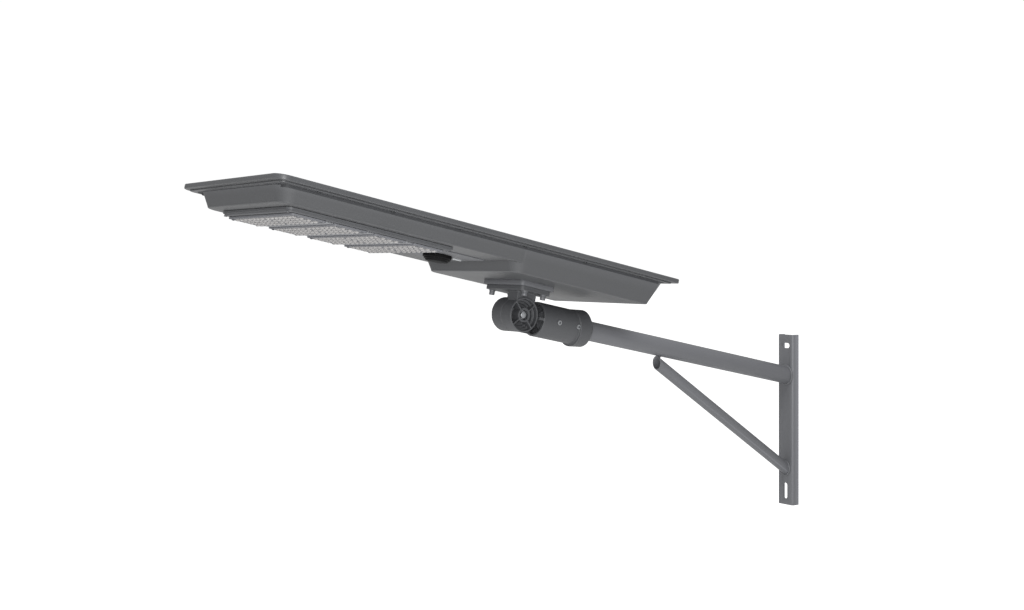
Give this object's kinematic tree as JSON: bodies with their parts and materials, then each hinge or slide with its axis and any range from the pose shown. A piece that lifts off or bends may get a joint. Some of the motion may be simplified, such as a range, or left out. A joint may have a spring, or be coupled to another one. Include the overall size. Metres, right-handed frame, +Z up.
{
  "type": "solar street lamp",
  "caption": "Solar street lamp: flat panel-topped head with lens modules and a motion sensor, on a tilting slip fitter, a sloping arm with a brace, and a slotted wall channel.",
  "frame": {"origin": "middle of the wall channel's wall face", "axes": "+Y into the wall, +Z up, the lamp reaches out to -Y, +X is the side where the tilt knuckle is open"},
  "size_m": [0.47, 1.6735, 0.8366],
  "materials": {
    "powder_coat": "matt grey powder coat on steel",
    "housing_coat": "matt grey powder coat on cast aluminium",
    "cast_coat": "matt grey powder coat on cast aluminium",
    "weld_paint": "painted weld",
    "zinc_steel": "zinc-plated steel",
    "spring_steel": "spring wire",
    "friction": "pressed friction disc",
    "seal": "silicone seal",
    "sheet": "grey coated sheet",
    "controller_metal": "bare cast aluminium",
    "backsheet": "white backsheet",
    "silicon": "silicon cells",
    "panel_glass": "tempered glass",
    "black_plastic": "black moulded plastic",
    "board_white": "metal-core board, white mask",
    "phosphor": "LED phosphor",
    "lens_clear": "clear moulded optic",
    "sensor_black": "dark infrared-clear plastic",
    "board_green": "circuit board",
    "button_grey": "light grey cap",
    "cell_sleeve": "cells in a blue sleeve",
    "holder": "black holder",
    "strap": "bright steel strap",
    "wire": "red silicone wire"
  },
  "bodies": {
    "wall_bracket": {"wall_channel": "powder_coat", "arm_tube": "powder_coat", "brace_tube": "powder_coat", "arm_weld": "weld_paint", "brace_welds": "weld_paint"},
    "slip_fitter": {"slip_fitter": "cast_coat", "set_screws": "zinc_steel", "pivot_bolt": "zinc_steel", "pivot_nut": "zinc_steel", "pivot_washers": "zinc_steel", "friction_disc": "friction"},
    "lamp_head": {"tilt_bracket": "cast_coat", "adapter_plate": "cast_coat", "bracket_bolts": "zinc_steel", "bracket_washers": "zinc_steel", "lower_housing": "housing_coat", "panel_frame": "housing_coat", "frame_seal": "seal", "frame_screws": "zinc_steel", "panel_backsheet": "backsheet", "solar_cells": "silicon", "panel_glass": "panel_glass", "junction_box": "black_plastic", "light_plate": "cast_coat", "light_plate_seal": "seal", "light_plate_screws": "zinc_steel", "led_board_1": "board_white", "led_board_2": "board_white", "led_board_3": "board_white", "led_board_4": "board_white", "led_chips": "phosphor", "lens_1": "lens_clear", "lens_2": "lens_clear", "lens_3": "lens_clear", "lens_4": "lens_clear", "lens_seals": "seal", "lens_screws": "zinc_steel", "service_panel": "sheet", "sensor_cover": "sensor_black", "sensor_board": "board_green", "button_spring": "spring_steel", "button_switch": "black_plastic", "battery_cells": "cell_sleeve", "battery_holders": "holder", "battery_straps": "strap", "battery_board": "board_green", "controller_case": "controller_metal", "controller_lid": "controller_metal", "controller_board": "board_green", "wire_harness": "wire", "vent_plug": "black_plastic"},
    "power_button": {"button_cap": "button_grey"}
  },
  "joints": [
    {"name": "sleeve_roll", "type": "hinge", "parent": "wall_bracket", "child": "slip_fitter", "pos_m": [0, -0.951, 0.3116], "axis": [0, -0.9799, 0.1994], "range_deg": [-20, 20]},
    {"name": "head_tilt", "type": "hinge", "parent": "slip_fitter", "child": "lamp_head", "pos_m": [0, -0.951, 0.3116], "axis": [1, 0, 0], "range_deg": [-5, 75]},
    {"name": "power_button", "type": "slide", "parent": "lamp_head", "child": "power_button", "axis": [0, 0.1994, 0.9799], "range_m": [0, 0.0015], "stiffness_N_per_m": 400, "deforming": ["button_spring"]}
  ]
}
